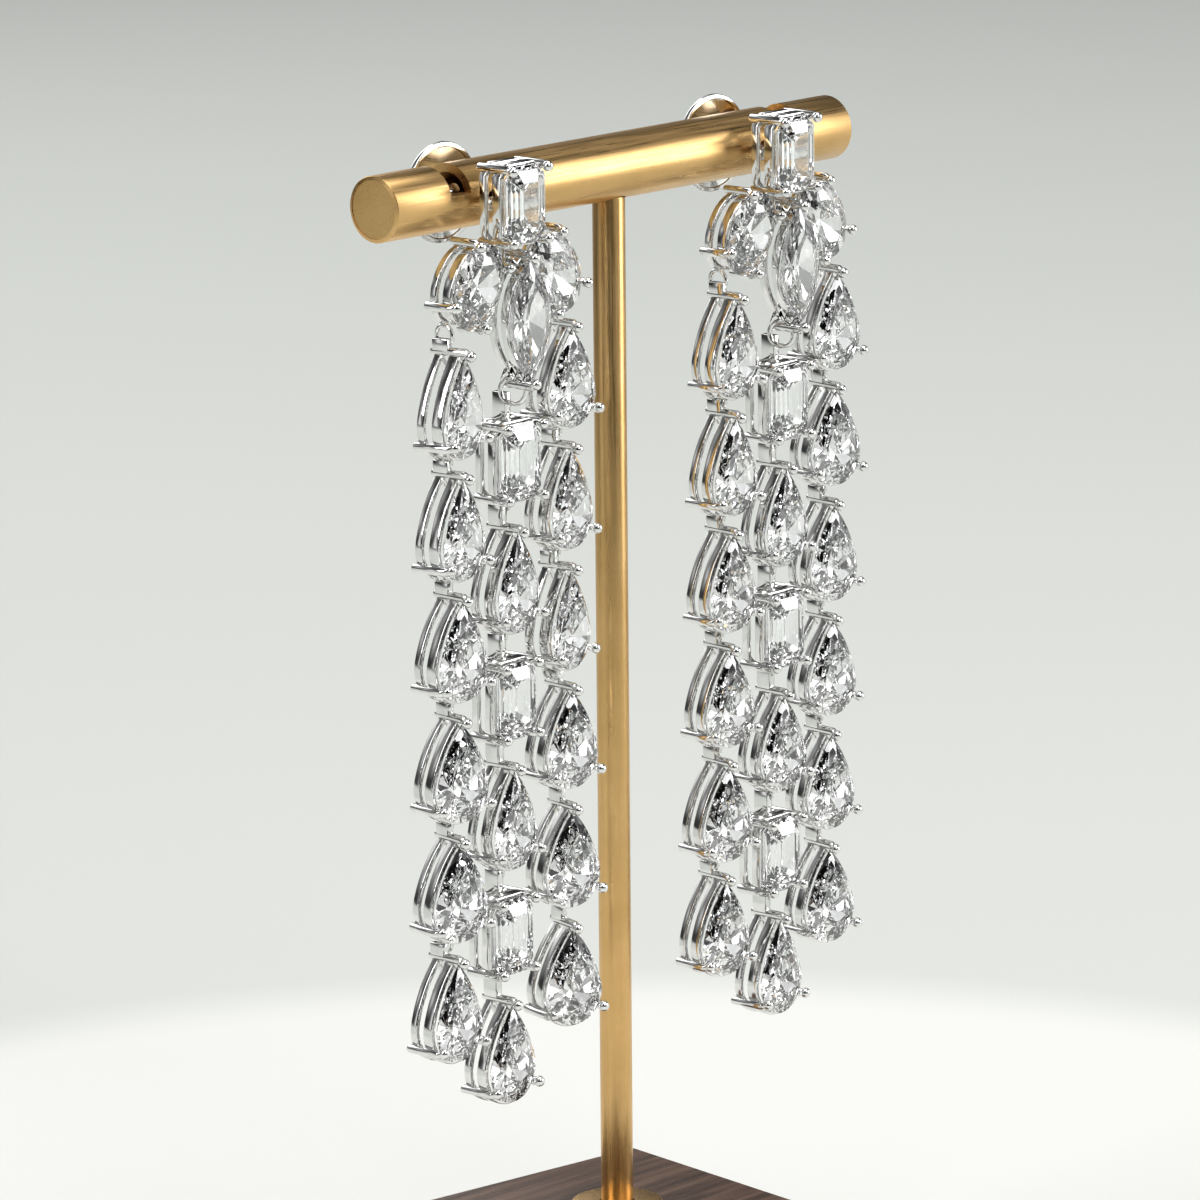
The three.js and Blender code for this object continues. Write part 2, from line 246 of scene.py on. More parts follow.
def girdle(cut, share=2, grow=0):
    """Cuts the block to the outline, one upright face for each step round it."""
    for i in range(0, STEPS, share):
        a, b = OUTLINES[cut][i], OUTLINES[cut][(i + share) % STEPS]
        across = Vector((a.y - b.y, b.x - a.x)).normalized()
        far = a.dot(across) + grow
        grind(across, (far, 0), (far, 1))


# %% [markdown]
# ## Brilliant cuts
# A brilliant crown has eight kite facets from girdle to table, eight stars round the table and
# sixteen halves along the girdle. The pavilion has eight mains that meet at the culet. Stones
# like these have extra rows of steeper facets behind the girdle as well, which break the light
# into small sparks that look like crushed ice.
# %% Cut the pear, oval and marquise brilliants
CROWN_ROWS = [(0, 12, 1.0, 1.0), (6, 12, 1.45, 0.93), (3, 6, 0.78, 1.0)]
PAVILION_ROWS = [
    (0, 12, 1.0), (6, 12, 1.16), (3, 6, 0.95), (0, 4, 0.9), (2, 4, 0.84), (1, 2, 0.74)
]


def brilliant(cut):
    size = CUTS[cut]
    table_y, culet_y = GIRDLE_BACK - size["crown"], GIRDLE_BACK + size["pavilion"]
    seat = (size["width"] - size["length"]) / 2 if cut == "pear" else 0
    rough_block(cut)
    girdle(cut)
    for first, step, lean, share in CROWN_ROWS:
        for i in range(first, STEPS, step):
            out = facing(cut, i)
            edge = reach(cut, out)
            inner = edge * TABLE_SHARE
            if lean > 1:  # a star starts from the table's edge
                near = (inner * share, table_y)
                far = (inner * share + (edge - inner) * lean, GIRDLE_BACK)
            else:
                near = (edge, GIRDLE_BACK - GIRDLE_HALF)
                far = (edge - (edge - inner) * lean, table_y)
            grind(out, near, far)
    for first, step, lean in PAVILION_ROWS:
        for i in range(first, STEPS, step):
            out = facing(cut, i)
            edge = reach(cut, out)
            middle = out.y * seat
            if lean > 1:  # a shallow facet close to the culet
                near = (middle + 0.02, culet_y - 0.03)
                far = (middle + (edge - middle) * lean, GIRDLE_BACK)
            else:
                near = (edge, GIRDLE_BACK + GIRDLE_HALF)
                far = (edge - (edge - middle) * lean, culet_y)
            grind(out, near, far)
    return finish(f"bench_{cut}", smooth=0)


stones = {cut: brilliant(cut) for cut in ("pear", "oval", "marquise")}
for cut, stone in stones.items():
    print(cut, "facets:", len(stone.data.polygons))

# %% [markdown]
# ## The emerald cut
# An emerald cut is a long octagon with straight steps instead of kites. Three steps run round the
# crown, each flatter than the one below it, and four run down to the keel behind.
# %% Cut the emerald
CROWN_PROFILE = [(0, 0), (0.26, 0.42), (0.58, 0.76), (1, 1)]
PAVILION_PROFILE = [(0, 0), (0.14, 0.25), (0.38, 0.52), (0.68, 0.8), (1, 1)]


def emerald_sides():
    """Straight outward directions of the octagon's eight sides."""
    slope = Vector((1, 1)).normalized()
    sides = [Vector((1, 0)), Vector((0, 1)), slope, Vector((slope.x, -slope.y))]
    return [side * way for side in sides for way in (1, -1)]


def emerald_cut():
    size = CUTS["emerald"]
    keel = (size["length"] - size["width"]) / 2
    rough_block("emerald")
    for out in emerald_sides():
        edge = reach("emerald", out)
        grind(out, (edge, 0), (edge, 1))
        inner = edge * TABLE_SHARE
        end = abs(out.y) * keel + 0.15 * abs(out.x * out.y)
        for profile, stop, rise, side in (
            (CROWN_PROFILE, inner, -size["crown"], -GIRDLE_HALF),
            (PAVILION_PROFILE, end, size["pavilion"], GIRDLE_HALF),
        ):
            level = GIRDLE_BACK + side
            rise -= side
            rings = [(edge + (stop - edge) * run, level + rise * up) for run, up in profile]
            for near, far in zip(rings, rings[1:]):
                grind(out, near, far)
    return finish("bench_emerald", smooth=0)


stones["emerald"] = emerald_cut()
print("emerald facets:", len(stones["emerald"].data.polygons))

# %% [markdown]
# ## Gallery rails
# Two bands run round each stone, one close behind the girdle and one at the back, and the light
# shows through the gap between them. A band is sawn from plate: the plate is cut to the outline,
# its two faces are inset by the wall and bridged into a hole, and the sharp edges are rounded
# over by a bevel, which gives polished metal its bright line.
# %% Saw the rails
RAIL_WALL = 0.5
RAIL_PROUD = 0.25
RAILS = [(1.15, 2.2), (3.0, 3.75)]
SLIM = {"pear": 0, "emerald": 0, "oval": 0.45, "marquise": 0.7}


def rail(cut, front, back):
    size = CUTS[cut]
    grow = RAIL_PROUD - SLIM[cut]
    start(
        bpy.ops.mesh.primitive_cube_add,
        size=1,
        location=(0, (front + back) / 2, 0),
        scale=(size["width"] + 2, back - front, size["length"] + 2),
    )
    if cut == "emerald":
        for out in emerald_sides():
            edge = reach(cut, out) + grow
            grind(out, (edge, 0), (edge, 1))
    else:
        girdle(cut, grow=grow)
    pick("faces", lambda face: abs(face.normal.y) > 0.9)
    bpy.ops.mesh.inset(thickness=RAIL_WALL, use_even_offset=True)
    bpy.ops.mesh.bridge_edge_loops()
    level = {round(front, 3), round(back, 3)}
    pick("edges", lambda edge: {round(v.co.y, 3) for v in edge.verts} <= level
         and abs(edge.verts[0].co.y - edge.verts[1].co.y) < 0.01)
    bpy.ops.mesh.bevel(offset=0.11, segments=3, affect="EDGES")
    return finish("bench_rail", smooth=50)


# %% [markdown]
# ## Claws
# Each stone is held by round wires that run along the setting and end in a polished ball over
# the girdle. One claw is made lying along Y with +X as outwards: a rod, rounded behind, drawn in
# a little at the front, and capped by a ball, which is then copied and turned to each corner.
# %% Draw one claw
CLAW_RADIUS = 0.4
BALL_RADIUS = 0.5
CLAW_BACK = 4.1


def claw(length=CLAW_BACK, lean=0.27):
    front = CLAW_BACK - length + 0.5
    depth = CLAW_BACK - front
    start(
        bpy.ops.mesh.primitive_cylinder_add,
        vertices=14,
        radius=CLAW_RADIUS,
        depth=depth,
        location=(0, (front + CLAW_BACK) / 2, 0),
        rotation=(math.pi / 2, 0, 0),
    )
    pick("faces", lambda face: face.normal.y > 0.9)
    bpy.ops.mesh.bevel(offset=0.12, segments=2)
    pick("faces", lambda face: face.normal.y < -0.9)
    bpy.ops.mesh.extrude_region_move(TRANSFORM_OT_translate={"value": (-lean, -0.42, 0)})
    bpy.ops.mesh.primitive_uv_sphere_add(
        segments=16, ring_count=10, radius=BALL_RADIUS, location=(-lean, front - 0.5, 0)
    )
    return finish("bench_claw", smooth=60)


PRONG_OUT = 0.45
PEAR_PRONG = math.radians(-29)


def claw_places(cut):
    """Where a cut's claws stand: x, z and the turn that faces them outwards."""
    length, width = CUTS[cut]["length"], CUTS[cut]["width"]
    if cut == "pear":
        r, end = width / 2 + PRONG_OUT, (width - length) / 2
        low = [(r * math.cos(a), end + r * math.sin(a), a) for a in (PEAR_PRONG, math.pi - PEAR_PRONG)]
        return [(0, length / 2 + PRONG_OUT, math.pi / 2), *low]
    if cut == "marquise":
        return [(0, s * (length / 2 + PRONG_OUT), s * math.pi / 2) for s in (1, -1)]
    round_side = cut == "oval"
    x = width * math.sqrt(0.5) / 2 if round_side else (width - EMERALD_CORNER) / 2
    z = length * math.sqrt(0.5) / 2 if round_side else (length - EMERALD_CORNER) / 2
    out = PRONG_OUT * math.sqrt(0.5)
    corners = ((1, 1), (-1, 1), (-1, -1), (1, -1))
    return [(sx * (x + out), sz * (z + out), math.atan2(sz, sx)) for sx, sz in corners]


# %% [markdown]
# ## Settings
# A setting is its two rails and its claws, soldered together. One is made for each cut. The oval
# settings sit shallower than the rest, so their claws are shorter.
# %% Solder one setting for each cut
def setting(cut):
    metal = [rail(cut, front, back) for front, back in RAILS]
    length = CLAW_BACK - 0.6 if cut == "oval" else CLAW_BACK
    lean = 0.16 if cut == "emerald" else 0.27
    wire = claw(CLAW_BACK, lean)
    for x, z, turn in claw_places(cut):
        place = Matrix.Translation((x, 0, z)) @ Matrix.Rotation(-turn, 4, "Y")
        metal.append(copied(wire, "bench_wire", place))
    lost(wire)
    whole = joined(metal, f"bench_setting_{cut}")
    if cut == "oval":
        bpy.ops.object.mode_set(mode="EDIT")
        pick("faces", lambda face: face.calc_center_median().y > length + 0.2)
        bpy.ops.transform.translate(value=(0, length - CLAW_BACK, 0))
        finish(whole.name, smooth=50)
    return whole


settings = {cut: setting(cut) for cut in CUTS}
for cut, metal in settings.items():
    print(cut, "setting faces:", len(metal.data.polygons))

# %% [markdown]
# ## Links between settings
# A flat tongue stands on each setting's top claw and is hooked by a small open ring under the
# setting above, so the strand can swing. The tongue is a strip with rounded edges. The ring is a
# round wire spun nearly all the way round, which leaves the fine joint a jump ring has.
# %% Bend a ring and cut a tongue
def ring(radius, wire):
    """An open ring round the X axis, its joint at the back."""
    start(
        bpy.ops.mesh.primitive_circle_add,
        vertices=10,
        radius=wire,
        location=(0, 0, radius),
        rotation=(math.pi / 2, 0, 0),
        fill_type="NGON",
    )
    bpy.ops.mesh.select_all(action="SELECT")
    bpy.ops.mesh.spin(
        steps=24, angle=math.radians(350), center=(0, 0, 0), axis=(1, 0, 0), use_auto_merge=False
    )
    return finish("bench_ring", smooth=60)


def tongue(bottom, top):
    """A strip from z = bottom to z = top, behind the gallery's middle."""
    start(
        bpy.ops.mesh.primitive_cube_add,
        size=1,
        location=(0, 3.05, (bottom + top) / 2),
        scale=(0.75, 1.65, top - bottom),
    )
    pick("edges", lambda edge: True)
    bpy.ops.mesh.bevel(offset=0.1, segments=2, affect="EDGES")
    return finish("bench_tongue", smooth=40)


# %% [markdown]
# ## Places on the earring
# Each earring hangs from its ear pin, a little below the bar's axis. The cluster's four stones
# sit round the pin, and three strands of six hang below it. A strand drifts a little to one side
# as it hangs, and each of its settings is turned a few degrees on its link.
# %% Places of the stones
EAR_X = 18.2
PIN_Z = 110.3
OVAL_TILT = math.radians(32)
CLUSTER = [
    ("emerald_top", "emerald", (0, -7.4, 0), 0),
    ("oval_left", "oval", (-5, -6.3, -6.9), OVAL_TILT),
    ("oval_right", "oval", (5, -6.3, -6.9), -OVAL_TILT),
    ("marquise", "marquise", (0, -7.8, -10.4), 0),
]
STRAND_TIPS = -6.5
STRANDS = {
    "left": {"x": -7, "z": -17.4, "steps": [11] * 5, "hang": -11.3},
    "centre": {"x": 0, "z": -23.3, "steps": [11, 10.7, 11, 10.7, 11], "hang": -17.2},
    "right": {"x": 6.9, "z": -16.7, "steps": [11.1] * 5, "hang": -10.8},
}
STRAND_CUTS = {"left": ["pear"] * 6, "centre": ["emerald", "pear"] * 3, "right": ["pear"] * 6}
HANG = {
    "left": {
        "back": 0,
        "left": (-0.034, [11, 6, -1, -6, -8, 1]),
        "centre": (-0.036, [-1, 5, 3, 4, 2, 1]),
        "right": (-0.014, [1, 6, 10, -4, -9, -13]),
    },
    "right": {
        "back": 0.02,
        "left": (-0.018, [4, 2, -2, -4, -6, -4]),
        "centre": (-0.003, [-1, 3, 1, -1, 2, 2]),
        "right": (0, [-2, -6, -3, -4, -4, -7]),
    },
}


def strand_rows(side, strand):
    """Name, cut, place and turn of each stone of a strand, from the ear pin."""
    size = STRANDS[strand]
    drift, turns = HANG[side][strand]
    rows, drop = [], 0
    for i, cut in enumerate(STRAND_CUTS[strand]):
        place = (size["x"] + drift * drop, STRAND_TIPS + HANG[side]["back"] * drop, size["z"] - drop)
        rows.append((f"{cut}_{strand}_{i + 1}", cut, place, math.radians(turns[i])))
        drop += (size["steps"] + [0])[i]
    return rows


def from_pin(side):
    """The ear pin's matrix, which also takes the bench's millimetres to metres."""
    x = EAR_X if side == "right" else -EAR_X
    return Matrix.Scale(MM, 4) @ Matrix.Translation((x, 0, PIN_Z))


def leaned(place, tilt):
    return Matrix.Translation(place) @ Matrix.Rotation(tilt, 4, "Y")


def turned(place, turn):
    return Matrix.Translation(place) @ Matrix.Rotation(turn, 4, "Z")


# %% [markdown]
# ## The ear pin and cluster metal
# Behind the top stone a small bridge carries the ear pin, which runs straight back through the
# bar. The pin is a rod with a rounded tip and a groove that the nut snaps into. A spine and a
# yoke join the marquise and the ovals to it, out of sight. A larger ring under the marquise
# carries the middle strand.
# %% Turn the ear pin and solder the cluster
PIN_FRONT, PIN_BACK = -3.9, 7.6
PIN_RADIUS = 0.45


def ear_pin():
    start(
        bpy.ops.mesh.primitive_cylinder_add,
        vertices=24,
        radius=PIN_RADIUS,
        depth=PIN_BACK - PIN_FRONT,
        location=(0, (PIN_BACK + PIN_FRONT) / 2, 0),
        rotation=(math.pi / 2, 0, 0),
    )
    for y in (5.9, 6.05, 6.25, 6.4):
        bpy.ops.mesh.select_all(action="SELECT")
        bpy.ops.mesh.bisect(plane_co=(0, y, 0), plane_no=(0, 1, 0), threshold=1e-5)
    pick("verts", lambda vert: 6.0 < vert.co.y < 6.3)
    bpy.ops.transform.resize(value=(0.8, 1, 0.8), center_override=(0, 6.15, 0))
    pick("faces", lambda face: face.normal.y > 0.9)
    bpy.ops.mesh.bevel(offset=0.25, segments=3)
    return finish("bench_pin", smooth=50)


def bar_block(size, middle, soft=0.12):
    """A small squared bar of solder or wire with rounded edges."""
    start(bpy.ops.mesh.primitive_cube_add, size=1, location=middle, scale=size)
    bpy.ops.mesh.select_all(action="SELECT")
    bpy.ops.mesh.bevel(offset=soft, segments=2, affect="EDGES")
    return finish("bench_block", smooth=40)


def cluster_metal():
    metal = [ear_pin()]
    for _, cut, place, tilt in CLUSTER:
        metal.append(copied(settings[cut], "bench_part", leaned(place, tilt)))
    metal.append(bar_block((4.6, 0.5, 1.2), (0, -3.95, 0)))
    metal.append(bar_block((0.8, 0.8, 3.2), (0, -4.2, -4.8)))
    metal.append(bar_block((4.6, 1.9, 0.8), (0, -3.65, -5.7)))
    loop = ring(1.2, 0.24)
    metal.append(copied(loop, "bench_part", turned((0, -4.95, -16.95), math.radians(25))))
    small = ring(0.95, 0.2)
    for x, y, z in ((-7, -3.3, -11.2), (6.9, -3.3, -10.7)):
        metal.append(copied(small, "bench_part", Matrix.Translation((x, y, z))))
    lost(loop, small)
    return joined(metal, "bench_cluster")


cluster = cluster_metal()
print("cluster faces:", len(cluster.data.polygons))

# %% [markdown]
# ## The strands
# Copies of the settings are placed down each strand, with a tongue above each one and a ring
# under it. The first tongue reaches up to the cluster, so its length differs.
# %% Hang the strands
RING_RADIUS = 0.8
RING_WIRE = 0.17
strand_pieces = []


def strand_metal(side, strand):
    metal = []
    rows = strand_rows(side, strand)
    loop = ring(RING_RADIUS, RING_WIRE)
    for i, (_, cut, place, turn) in enumerate(rows):
        put = turned(place, turn)
        metal.append(copied(settings[cut], "bench_part", put))
        bottom = CUTS[cut]["length"] / 2 + (0.25 if cut == "pear" else -0.1)
        if i:
            above = CUTS[rows[i - 1][1]]["length"] / 2
            top = rows[i - 1][2][2] - above - 0.35 - place[2]
        else:
            top = STRANDS[strand]["hang"] - place[2]
        link = tongue(bottom, top)
        link.data.transform(put)
        metal.append(link)
        if i < len(rows) - 1:
            under = Matrix.Translation((0, 3.0, -CUTS[cut]["length"] / 2 - 0.45))
            metal.append(copied(loop, "bench_part", put @ under))
    lost(loop)
    return joined(metal, f"{side}_strand_{strand}_metal")


for side in HANG:
    for strand in STRANDS:
        piece = strand_metal(side, strand)
        piece.data.transform(from_pin(side))
        strand_pieces.append((piece, f"{side}_strand_{strand}"))
        print(piece.name, "faces:", len(piece.data.polygons))

# %% [markdown]
# ## Placing the stones and clusters
# Every stone is a copy of one of the four cut ones, and each earring gets a copy of the cluster.
# %% Place copies for both earrings
stone_pieces, cluster_pieces = [], []
for side in HANG:
    rows = [(name, cut, leaned(place, tilt)) for name, cut, place, tilt in CLUSTER]
    for strand in STRANDS:
        rows += [(name, cut, turned(place, turn)) for name, cut, place, turn in strand_rows(side, strand)]
    for name, cut, put in rows:
        stone = copied(stones[cut], f"{side}_{name}_stone", from_pin(side) @ put)
        stone_pieces.append((stone, f"{side}_{name}"))
    whole = copied(cluster, f"{side}_cluster_metal", from_pin(side))
    cluster_pieces.append((whole, f"{side}_cluster_frame"))
print("stones placed:", len(stone_pieces))

# %% [markdown]
# ## Disc nuts
# A wide disc with a raised bright rim sits behind the bar and steadies the heavy earring. Behind
# it two strips of sheet are curled into springs that grip the pin's groove. The disc is a turned
# blank whose face is inset twice, and each curl is a strip extruded and turned step by step.
# %% Turn a disc and curl its springs
DISC_FRONT, DISC_THICK, DISC_RADIUS = 3.3, 0.5, 4.6
CURL_RADIUS, CURL_WIDTH, CURL_RISE = 1.0, 3.0, 1.85


def disc():
    start(
        bpy.ops.mesh.primitive_cylinder_add,
        vertices=72,
        radius=DISC_RADIUS,
        depth=DISC_THICK,
        location=(0, DISC_FRONT + DISC_THICK / 2, 0),
        rotation=(math.pi / 2, 0, 0),
    )
    pick("edges", lambda edge: abs(edge.verts[0].co.y - edge.verts[1].co.y) < 0.01)
    bpy.ops.mesh.bevel(offset=0.12, segments=3, affect="EDGES")
    pick("faces", lambda face: face.normal.y < -0.99)
    bpy.ops.mesh.inset(thickness=0.3)
    bpy.ops.mesh.inset(thickness=0.1)
    bpy.ops.transform.translate(value=(0, 0.1, 0))
    bpy.ops.mesh.inset(thickness=3.0)
    bpy.ops.mesh.inset(thickness=0.12)
    bpy.ops.transform.translate(value=(0, -0.08, 0))
    return finish("bench_disc", smooth=40)


def curl(side):
    """One rolled spring, above (1) or below (-1) the pin."""
    centre = Vector((0, DISC_FRONT + DISC_THICK + CURL_RADIUS, side * CURL_RISE))
    start(
        bpy.ops.mesh.primitive_cube_add,
        size=1,
        location=centre + Vector((0, -CURL_RADIUS + 0.12, 0)),
        scale=(CURL_WIDTH, 0.24, 0.3),
    )
    pick("faces", lambda face: face.normal.z * side < -0.9)
    for _ in range(22):
        bpy.ops.mesh.extrude_region_move(TRANSFORM_OT_translate={"value": (0, 0, 0)})
        bpy.ops.transform.rotate(
            value=math.radians(-18 * side), orient_axis="X", center_override=centre
        )
        bpy.ops.transform.resize(value=(1, 0.975, 0.975), center_override=centre)
    return finish("bench_curl", smooth=50)


nut = joined([disc(), curl(1), curl(-1)], "bench_nut")
nut_pieces = []
for side in HANG:
    whole = copied(nut, f"{side}_nut_metal", from_pin(side))
    nut_pieces.append((whole, f"{side}_disc_nut"))
print("nut faces:", len(nut.data.polygons))

# %% [markdown]
# ## The bar
# The bar is a thin-walled tube with soldered end caps. Beside each ear pin a short notch is sawn
# into its upper side, and round holes pass the ear pins and the post. The caps' fine seams are
# insets on the ends. The hollow, notches and holes are cut by boolean modifiers, because they
# leave the wall's thickness to be seen at each notch.
# %% Cut the bar
BAR_LENGTH, BAR_RADIUS, BAR_WALL, BAR_Z = 61.0, 3.0, 0.8, 110.7
NOTCH = {"width": 2.6, "offset": 4.2, "floor": 0.6}
SEAM = 0.05
POST_RADIUS = 1.5
POST_FOOT = 6.3


def rod(radius, length, middle, axis, sides):
    """A plain closed rod along X, Y or Z."""
    turns = {"X": (0, math.pi / 2, 0), "Y": (math.pi / 2, 0, 0), "Z": (0, 0, 0)}
    start(
        bpy.ops.mesh.primitive_cylinder_add,
        vertices=sides,
        radius=radius,
        depth=length,
        location=middle,
        rotation=turns[axis],
    )


def cut_away(body, tools):
    """Subtracts each tool from the body with a modifier, and takes the tool away."""
    for tool in tools:
        bpy.ops.object.select_all(action="DESELECT")
        body.select_set(True)
        bpy.context.view_layer.objects.active = body
        cut = body.modifiers.new("cut", "BOOLEAN")
        cut.operation, cut.solver, cut.object = "DIFFERENCE", "EXACT", tool
        bpy.ops.object.modifier_apply(modifier=cut.name)
        lost(tool)


def bar():
    rod(BAR_RADIUS, BAR_LENGTH, (0, 0, BAR_Z), "X", 96)
    pick("faces", lambda face: abs(face.normal.x) > 0.9)
    bpy.ops.mesh.bevel(offset=0.14, segments=3)
    tube = finish("t_bar_tube", smooth=0)
    tools = []
    for way in (-1, 1):
        start(
            bpy.ops.mesh.primitive_cube_add,
            size=1,
            location=(way * (EAR_X + NOTCH["offset"]), 0, BAR_Z + NOTCH["floor"] + BAR_RADIUS),
            scale=(NOTCH["width"], 2 * BAR_RADIUS + 1, 2 * BAR_RADIUS),
        )
        tools.append(finish("notch", smooth=0))
        rod(1.0, 2 * BAR_RADIUS + 2, (way * EAR_X, 0, PIN_Z), "Y", 32)
        tools.append(finish("pin_hole", smooth=0))
    rod(POST_RADIUS + 0.1, 2, (0, 0, BAR_Z - BAR_RADIUS), "Z", 48)
    tools.append(finish("post_hole", smooth=0))
    rod(BAR_RADIUS - BAR_WALL, BAR_LENGTH - 2 * BAR_WALL, (0, 0, BAR_Z), "X", 64)
    tools.append(finish("hollow", smooth=0))
    cut_away(tube, tools)
    bpy.ops.object.mode_set(mode="EDIT")
    pick("faces", lambda face: abs(face.calc_center_median().x) > BAR_LENGTH / 2 - 0.01)
    bpy.ops.mesh.inset(thickness=0.3)
    for deeper in (-SEAM, SEAM):
        bpy.ops.mesh.inset(thickness=SEAM)
        bpy.ops.transform.resize(
            value=(1 + 2 * deeper / BAR_LENGTH, 1, 1), center_override=(0, 0, BAR_Z)
        )
    return finish("t_bar_tube", smooth=20)


bar_piece = bar()
print("bar faces:", len(bar_piece.data.polygons), "across:", round(bar_piece.dimensions.y, 2))

# %% [markdown]
# ## The post, its flange and the base
# The post is a drawn rod that runs from a socket in the wood up into the bar. A thin turned disc
# hides the socket's rim. The block of walnut has small chamfers, softened by hand sanding.
# %% Turn the post and flange, and square the base
BASE = {"side": 28.6, "height": 12, "turn": math.radians(-7), "socket": 6}
FLANGE = {"radius": 4.3, "bottom": 12.02, "top": 12.9}


def post():
    top = BAR_Z - BAR_RADIUS + 0.4
    rod(POST_RADIUS, top - POST_FOOT, (0, 0, (top + POST_FOOT) / 2), "Z", 48)
    pick("faces", lambda face: abs(face.normal.z) > 0.9)
    bpy.ops.mesh.bevel(offset=0.2, segments=2)
    return finish("post_rod", smooth=30)


def flange():
    height = FLANGE["top"] - FLANGE["bottom"]
    rod(FLANGE["radius"], height, (0, 0, FLANGE["bottom"] + height / 2), "Z", 72)
    pick("faces", lambda face: face.normal.z > 0.9)
    bpy.ops.mesh.bevel(offset=0.22, segments=3)
    pick("faces", lambda face: abs(face.normal.z) > 0.99)
    bpy.ops.mesh.inset(thickness=FLANGE["radius"] - POST_RADIUS - 0.35)
    pick("faces", lambda face: abs(face.normal.z) > 0.99 and len(face.verts) > 8)
    bpy.ops.mesh.bridge_edge_loops()
    return finish("post_flange_disc", smooth=30)


def base():
    side, height = BASE["side"], BASE["height"]
    start(
        bpy.ops.mesh.primitive_cube_add,
        size=1,
        location=(0, 0, height / 2),
        scale=(side, side, height),
    )
    bpy.ops.mesh.select_all(action="SELECT")
    bpy.ops.mesh.bevel(offset=0.4, segments=3, affect="EDGES")
    block = finish("base_walnut_block", smooth=0)
    rod(POST_RADIUS + 0.1, height, (0, 0, height * 1.5 - BASE["socket"]), "Z", 48)
    cut_away(block, [finish("socket", smooth=0)])
    bpy.ops.object.shade_smooth_by_angle(angle=math.radians(30))
    block.data.transform(Matrix.Rotation(BASE["turn"], 4, "Z"))
    return block


post_piece, flange_piece, base_piece = post(), flange(), base()
for piece in (bar_piece, post_piece, flange_piece, base_piece):
    piece.data.transform(Matrix.Scale(MM, 4))
lost(*stones.values(), *settings.values(), cluster, nut)
print("stand made of", 4, "pieces")

# %% [markdown]
# ## Finishes
# Four finishes cover everything: clear diamond, bright rhodium-plated white gold, satin yellow
# gold and oiled walnut. Each reads the piece's own position, so a pattern stays put on the metal
# or wood. A helper makes the node tree, and noise gives each finish its small unevenness.
# %% Material helpers
def new_finish(name, **sockets):
    """A material, its node tree and its shader with some sockets set."""
    made = bpy.data.materials.new(name)
    made.use_nodes = True
    shader = made.node_tree.nodes["Principled BSDF"]
    for socket, value in sockets.items():
        shader.inputs[socket.replace("_", " ").title().replace("Ior", "IOR")].default_value = value
    return made, made.node_tree, shader


def pattern(tree, kind, stretch, **settings_):
    """A texture on the piece's own position, stretched along an axis."""
    place = tree.nodes.new("ShaderNodeTexCoord")
    mapping = tree.nodes.new("ShaderNodeMapping")
    mapping.inputs["Scale"].default_value = stretch
    texture = tree.nodes.new(kind)
    tree.links.new(place.outputs["Object"], mapping.inputs["Vector"])
    tree.links.new(mapping.outputs["Vector"], texture.inputs["Vector"])
    for socket, value in settings_.items():
        texture.inputs[socket.replace("_", " ").title()].default_value = value
    return texture.outputs["Fac"], mapping


def ramp(tree, source, stops):
    """A colour ramp on a value; stops are (position, colour)."""
    made = tree.nodes.new("ShaderNodeValToRGB")
    row = made.color_ramp.elements
    while len(row) < len(stops):
        row.new(0.5)
    for element, (position, colour) in zip(row, stops):
        element.position, element.color = position, (*colour, 1)
    tree.links.new(source, made.inputs["Fac"])
    return made.outputs["Color"]


def grey(value):
    return (value, value, value)


def bumped(tree, shader, height, strength, distance):
    bump = tree.nodes.new("ShaderNodeBump")
    bump.inputs["Strength"].default_value = strength
    bump.inputs["Distance"].default_value = distance
    tree.links.new(height, bump.inputs["Height"])
    tree.links.new(bump.outputs["Normal"], shader.inputs["Normal"])


# %% [markdown]
# ## Diamond and white gold
# Diamond is clear and bends light strongly, so most of its look is in its facets and its index
# of refraction. Fine polish haze makes a few facets a touch softer. White gold is a mirror with a
# little unevenness left by the buff, and hair-fine scratches.
# %% Diamond and white gold
def diamond_finish():
    made, tree, shader = new_finish(
        "diamond", base_color=(0.985, 0.99, 1.0, 1), roughness=0.0, ior=2.42, transmission_weight=1.0
    )
    haze, _ = pattern(tree, "ShaderNodeTexNoise", (1, 1, 1), scale=420.0, detail=2.0)
    tree.links.new(ramp(tree, haze, [(0.45, grey(0.0)), (0.75, grey(0.03))]), shader.inputs["Roughness"])
    return made


def white_gold_finish():
    made, tree, shader = new_finish("white_gold", metallic=1.0, roughness=0.08)
    buff, _ = pattern(tree, "ShaderNodeTexNoise", (1, 1, 1), scale=900.0, detail=3.0)
    tree.links.new(
        ramp(tree, buff, [(0.3, (0.7, 0.7, 0.69)), (0.7, (0.82, 0.82, 0.81))]),
        shader.inputs["Base Color"],
    )
    tree.links.new(ramp(tree, buff, [(0.35, grey(0.05)), (0.7, grey(0.14))]), shader.inputs["Roughness"])
    scratch, _ = pattern(tree, "ShaderNodeTexNoise", (600, 9000, 3000), scale=1.0, detail=2.0)
    bumped(tree, shader, scratch, 0.06, 0.00001)
    return made


diamond, white_gold = diamond_finish(), white_gold_finish()

